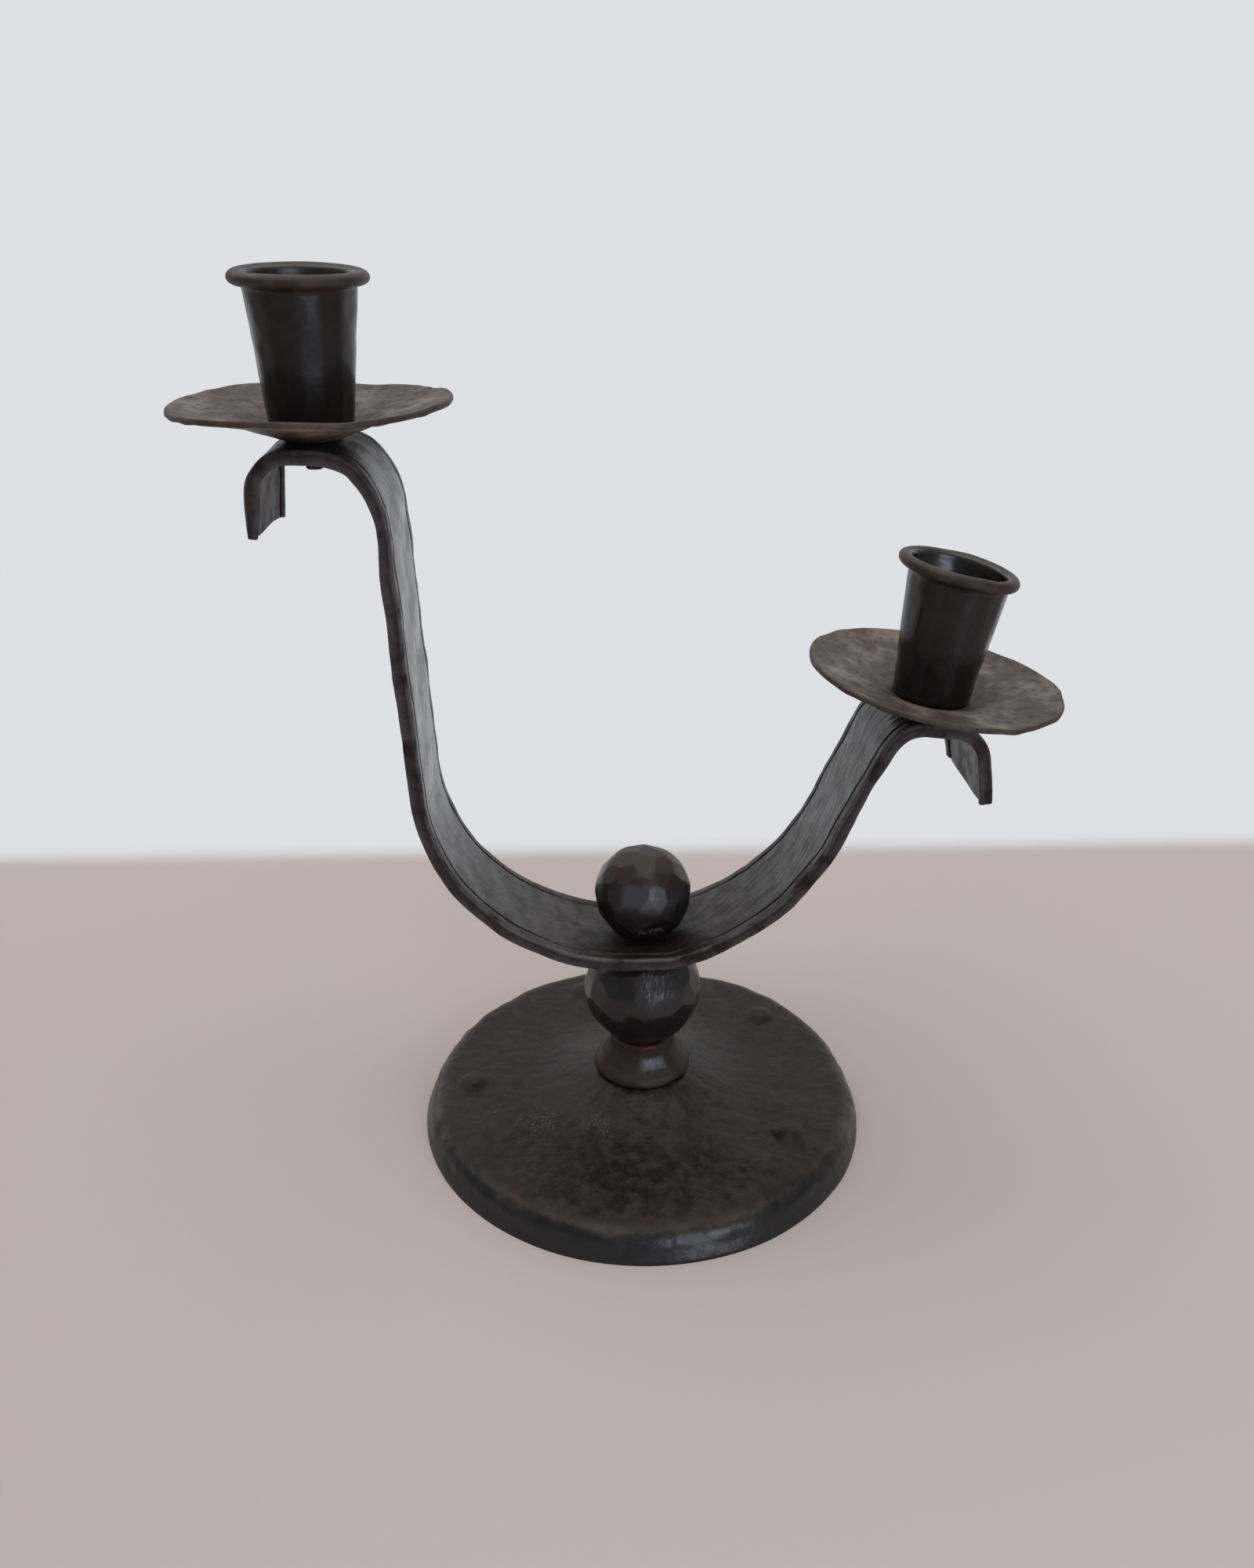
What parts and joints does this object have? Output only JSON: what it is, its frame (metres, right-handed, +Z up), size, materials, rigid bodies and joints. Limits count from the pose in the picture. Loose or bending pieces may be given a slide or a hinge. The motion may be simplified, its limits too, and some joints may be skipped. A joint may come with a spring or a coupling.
{
  "type": "double-arm candle holder",
  "caption": "Forged iron table candle holder: a flat strap bent into arms of unequal height, with drip pans and tapered sockets, clamped between hammered balls on a round sheet-iron foot.",
  "frame": {"origin": "centre of the foot on the table", "axes": "+Z up along the stem and the swivel axis, +X to the lower arm, -Y to the front"},
  "size_m": [0.2377, 0.14, 0.2565],
  "materials": {
    "sheet_iron": "hammered sheet iron, blackened and waxed, brown-black with worn bright spots",
    "ball_iron": "forged iron with hammer facets, blackened, burnished on the high facets",
    "strap_iron": "rolled iron strap, blackened, streaked grey along its length, brown-black edges",
    "pan_iron": "hammered sheet iron, matt brown-grey",
    "socket_iron": "hammered iron, satin black",
    "plain_steel": "plain steel fasteners, dulled"
  },
  "bodies": {
    "stand": {"foot_plate": "sheet_iron", "collar_bead": "ball_iron", "lower_ball": "ball_iron", "finial_ball": "ball_iron", "tie_rod": "plain_steel", "clamp_washer": "plain_steel", "clamp_nut": "plain_steel"},
    "arms": {"arm_strap": "strap_iron", "left_drip_pan": "pan_iron", "right_drip_pan": "pan_iron", "left_candle_socket": "socket_iron", "right_candle_socket": "socket_iron", "left_rivet": "socket_iron", "right_rivet": "socket_iron"}
  },
  "joints": [
    {"name": "arm_swivel", "type": "hinge", "parent": "stand", "child": "arms", "pos_m": [0, 0, 0.06488], "axis": [0, 0, 1], "continuous": true}
  ]
}
